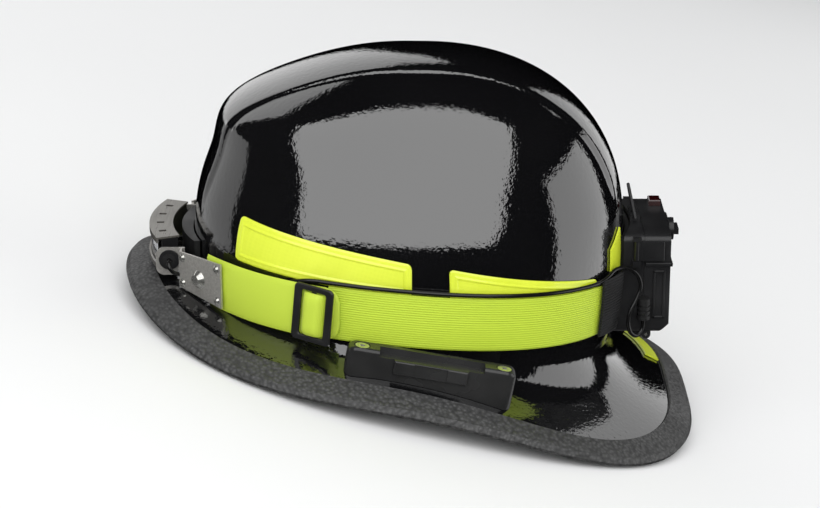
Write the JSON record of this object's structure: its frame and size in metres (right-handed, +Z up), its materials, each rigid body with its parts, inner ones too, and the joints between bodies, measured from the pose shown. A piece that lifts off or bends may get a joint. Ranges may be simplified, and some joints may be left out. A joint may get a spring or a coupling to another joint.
{
  "type": "firefighter helmet with headlamp",
  "caption": "Firefighter helmet with a wide brim, edge trim, reflective trapezoids and side rails, carrying a strapped-on tilting headlamp with a rear battery case.",
  "frame": {"origin": "centre of the bounding box at floor level, with the helmet standing on its edge trim", "axes": "+Z up, -Y towards the front (the lamp), +X towards the wearer's left"},
  "size_m": [0.2888, 0.3656, 0.1939],
  "materials": {
    "shell_black": "gloss",
    "trim_rubber": "pebbled",
    "lime_reflector": "prismatic",
    "black_plastic": "satin moulded",
    "foam": "matt foam",
    "steel": "brushed",
    "brass": "satin",
    "web_black": "woven",
    "web_lime": "woven",
    "pad_cloth": "soft",
    "rubber": "matt",
    "clear": "clear polycarbonate",
    "chrome": "vacuum plated",
    "board": "printed board",
    "led": "phosphor",
    "cell": "printed sleeve, no marks",
    "red_lens": "translucent"
  },
  "bodies": {
    "helmet": {"outer_shell": "shell_black", "edge_trim": "trim_rubber", "reflectors_front": "lime_reflector", "reflectors_rear": "lime_reflector", "reflectors_tail": "lime_reflector", "side_bar_left": "black_plastic", "side_bar_right": "black_plastic", "bar_screws": "steel", "bar_nuts": "steel", "impact_liner": "foam", "suspension_blocks": "black_plastic", "headband": "black_plastic", "brow_pad": "pad_cloth", "crown_straps": "web_black", "ratchet_housing": "black_plastic", "nape_pad": "pad_cloth", "chin_brackets": "steel", "chin_bolts": "steel", "chin_strap_left": "web_black", "chin_strap_right": "web_black", "chin_buckle_socket": "black_plastic", "lamp_pivot_left": "steel", "lamp_pivot_right": "steel", "cable_grommet": "rubber", "lamp_pad": "rubber", "side_plate_left": "steel", "side_plate_right": "steel", "plate_rivets": "steel", "strap_front_left": "web_lime", "strap_front_right": "web_lime", "strap_rear_left": "web_lime", "strap_rear_right": "web_lime", "slide_buckles": "black_plastic", "web_loops": "web_black", "lamp_cable": "rubber", "battery_pad": "rubber", "battery_backing": "black_plastic", "battery_inside": "cell", "hinge_pins": "steel", "strain_relief": "rubber"},
    "lamp": {"lamp_housing": "black_plastic", "lamp_gasket": "rubber", "lamp_lens": "clear", "lamp_reflector": "chrome", "lamp_board": "board", "lamp_leds": "led", "lamp_top_plate": "steel", "lamp_bottom_plate": "chrome"},
    "case_cover": {"battery_cover": "black_plastic", "battery_seal": "rubber", "tail_light": "red_lens"},
    "switch": {"switch_knob": "black_plastic"},
    "bail": {"top_bail": "steel"},
    "latch_left": {"case_latch_left": "black_plastic"},
    "latch_right": {"case_latch_right": "black_plastic"},
    "ratchet": {"ratchet_pinion": "black_plastic", "ratchet_knob": "black_plastic"},
    "rack_left": {"rack_left": "black_plastic"},
    "rack_right": {"rack_right": "black_plastic"},
    "chin_tongue": {"chin_buckle_tongue": "black_plastic"}
  },
  "joints": [
    {"name": "lamp_tilt", "type": "hinge", "parent": "helmet", "child": "lamp", "pos_m": [0, -0.15662, 0.03478], "axis": [1, 0, 0], "range_deg": [-20, 5]},
    {"name": "case_cover_hinge", "type": "hinge", "parent": "helmet", "child": "case_cover", "pos_m": [0, 0.13896, 0.05514], "axis": [-1, 0, 0], "range_deg": [0, 70]},
    {"name": "switch_turn", "type": "hinge", "parent": "case_cover", "child": "switch", "pos_m": [0, 0.14132, 0.11424], "axis": [0, 0.9707, 0.2404], "range_deg": [0, 90]},
    {"name": "bail_swing", "type": "hinge", "parent": "helmet", "child": "bail", "pos_m": [0, 0.1165, 0.1188], "axis": [-1, 0, 0], "range_deg": [0, 42]},
    {"name": "latch_left_swing", "type": "hinge", "parent": "helmet", "child": "latch_left", "pos_m": [0.0397, 0.11826, 0.1075], "axis": [0, 0.2404, -0.9707], "range_deg": [0, 80]},
    {"name": "latch_right_swing", "type": "hinge", "parent": "helmet", "child": "latch_right", "pos_m": [-0.0397, 0.11826, 0.1075], "axis": [0, -0.2404, 0.9707], "range_deg": [0, 80]},
    {"name": "ratchet_turn", "type": "hinge", "parent": "helmet", "child": "ratchet", "pos_m": [0, 0.08902, 0.04256], "axis": [0, 0.9707, 0.2404], "range_deg": [-60, 60]},
    {"name": "rack_left_slide", "type": "hinge", "parent": "helmet", "child": "rack_left", "pos_m": [0, 0.01331, 0.02381], "axis": [0, -0.2404, 0.9707], "range_deg": [-4.7, 4.7]},
    {"name": "rack_right_slide", "type": "hinge", "parent": "helmet", "child": "rack_right", "pos_m": [0, 0.01331, 0.02381], "axis": [0, -0.2404, 0.9707], "range_deg": [-4.7, 4.7]},
    {"name": "chin_buckle", "type": "slide", "parent": "helmet", "child": "chin_tongue", "axis": [1, 0, 0], "range_m": [0, 0.01]}
  ],
  "couplings": [
    {"joint": "rack_left_slide", "follows": "ratchet_turn", "ratio": -0.076923},
    {"joint": "rack_right_slide", "follows": "ratchet_turn", "ratio": 0.076923}
  ]
}
